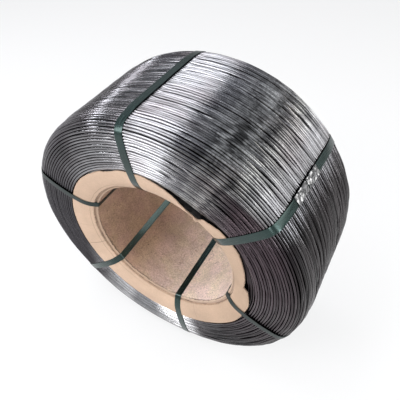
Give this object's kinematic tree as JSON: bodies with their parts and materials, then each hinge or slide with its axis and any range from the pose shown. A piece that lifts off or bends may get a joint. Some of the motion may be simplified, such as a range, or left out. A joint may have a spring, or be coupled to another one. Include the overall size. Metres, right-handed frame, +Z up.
{
  "type": "strapped coil of steel wire",
  "caption": "Coil of plain round steel wire wound on an open board core, tied with flat steel straps through its bore; lies on its side as raw stock.",
  "frame": {"origin": "on the floor, below the middle of the coil", "axes": "+Z up, Y along the axis of the bore with the near end towards -Y, X across the coil"},
  "size_m": [0.6397, 0.2988, 0.6398],
  "materials": {
    "wire": "bright drawn, slightly dull",
    "tube_board": "matte grey-brown board",
    "collar_board": "matte pale tan board",
    "strap": "gloss dark green paint",
    "seal": "bright zinc, crumpled"
  },
  "bodies": {
    "root": {"wire_coil": "wire", "core_tube": "tube_board", "collar_near": "collar_board", "collar_far": "collar_board", "strap_a": "strap", "strap_b": "strap", "strap_c": "strap", "strap_d": "strap", "strap_e": "strap", "strap_f": "strap", "seals_a": "seal", "seals_b": "seal", "seals_c": "seal", "seals_d": "seal", "seals_e": "seal", "seals_f": "seal"}
  },
  "joints": []
}
